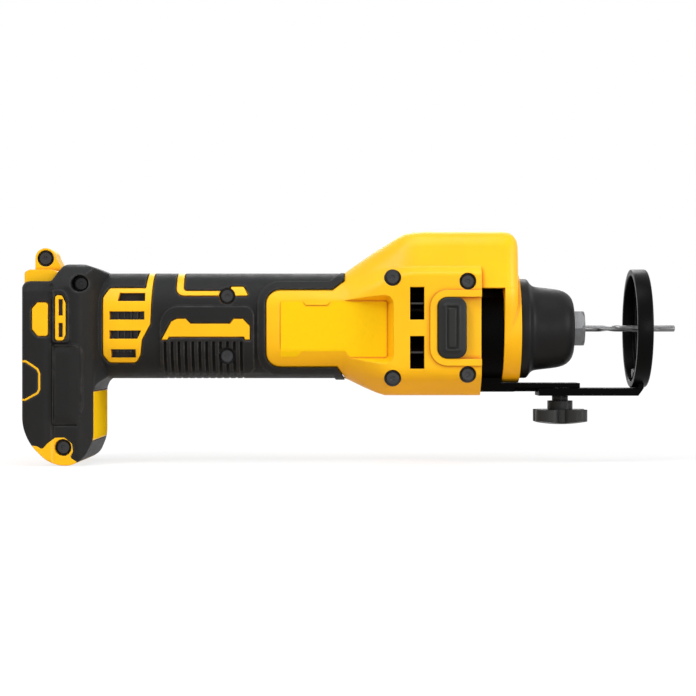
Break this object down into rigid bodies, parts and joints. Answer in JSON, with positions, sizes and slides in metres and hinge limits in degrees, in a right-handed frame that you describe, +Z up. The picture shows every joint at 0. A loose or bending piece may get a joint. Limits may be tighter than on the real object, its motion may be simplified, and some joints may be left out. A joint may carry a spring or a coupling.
{
  "type": "cordless drywall cut out tool",
  "caption": "Handheld battery-powered drywall cut out tool with a clamshell body, side slide switch, guide-point cutter in a collet and a round sliding depth shoe.",
  "frame": {"origin": "on the spindle axis, at the front face of the collet nut", "axes": "+X along the spindle towards the cutter's tip, +Z up from the battery foot to the raised top, +Y to the tool's left"},
  "size_m": [0.3205, 0.076, 0.114],
  "materials": {
    "yellow_plastic": "fine satin moulding",
    "grip_rubber": "soft matt",
    "black_plastic": "satin moulding",
    "steel": "ground",
    "dark_steel": "blackened",
    "copper": "enamelled wire",
    "board": "solder mask",
    "aluminium": "extruded",
    "contact_brass": "bright",
    "clear_lens": "clear",
    "red_wire": "wire cover",
    "blue_wire": "wire cover"
  },
  "bodies": {
    "housing": {"right_housing": "yellow_plastic", "left_housing": "yellow_plastic", "right_grip": "grip_rubber", "left_grip": "grip_rubber", "nose_cap": "black_plastic", "bearing_carrier": "black_plastic", "bearing_outer_rings": "steel", "bearing_balls": "steel", "stator_core": "dark_steel", "stator_coils": "copper", "sensor_board": "board", "power_switch": "black_plastic", "control_module": "black_plastic", "heat_sink": "aluminium", "terminal_block": "black_plastic", "terminal_blades": "contact_brass", "battery_leads": "red_wire", "motor_leads": "blue_wire", "lamp_board": "board", "lamp_lens": "clear_lens", "lock_spring": "steel", "housing_screws": "dark_steel", "depth_bracket": "black_plastic", "bracket_nut": "steel"},
    "spindle": {"bearing_inner_rings": "steel", "rotor_core": "dark_steel", "rotor_magnets": "steel", "spindle_shaft": "steel", "cooling_fan": "black_plastic", "collet": "steel", "collet_nut": "steel", "cutting_bit": "steel"},
    "switch_slide": {"right_switch_button": "black_plastic", "left_switch_button": "black_plastic", "switch_yoke": "black_plastic"},
    "spindle_lock": {"lock_button": "black_plastic", "lock_pin": "steel"},
    "depth_shoe": {"guide_arm": "black_plastic", "shoe_ring": "black_plastic", "shoe_rivets": "steel"},
    "thumb_knob": {"thumb_knob": "black_plastic", "thumb_screw": "steel"}
  },
  "joints": [
    {"name": "spindle_spin", "type": "hinge", "parent": "housing", "child": "spindle", "pos_m": [0, 0, 0], "axis": [1, 0, 0], "continuous": true},
    {"name": "switch_travel", "type": "slide", "parent": "housing", "child": "switch_slide", "axis": [1, 0, 0], "range_m": [0, 0.006]},
    {"name": "lock_press", "type": "slide", "parent": "housing", "child": "spindle_lock", "axis": [0, 0, -1], "range_m": [0, 0.004], "stiffness_N_per_m": 400, "springref_m": -0.005, "deforming": ["lock_spring"]},
    {"name": "shoe_depth", "type": "slide", "parent": "housing", "child": "depth_shoe", "axis": [1, 0, 0], "range_m": [-0.012, 0.006]},
    {"name": "knob_turn", "type": "hinge", "parent": "housing", "child": "thumb_knob", "pos_m": [-0.0118, 0, -0.04], "axis": [0, 0, 1], "range_deg": [-180, 180]}
  ]
}
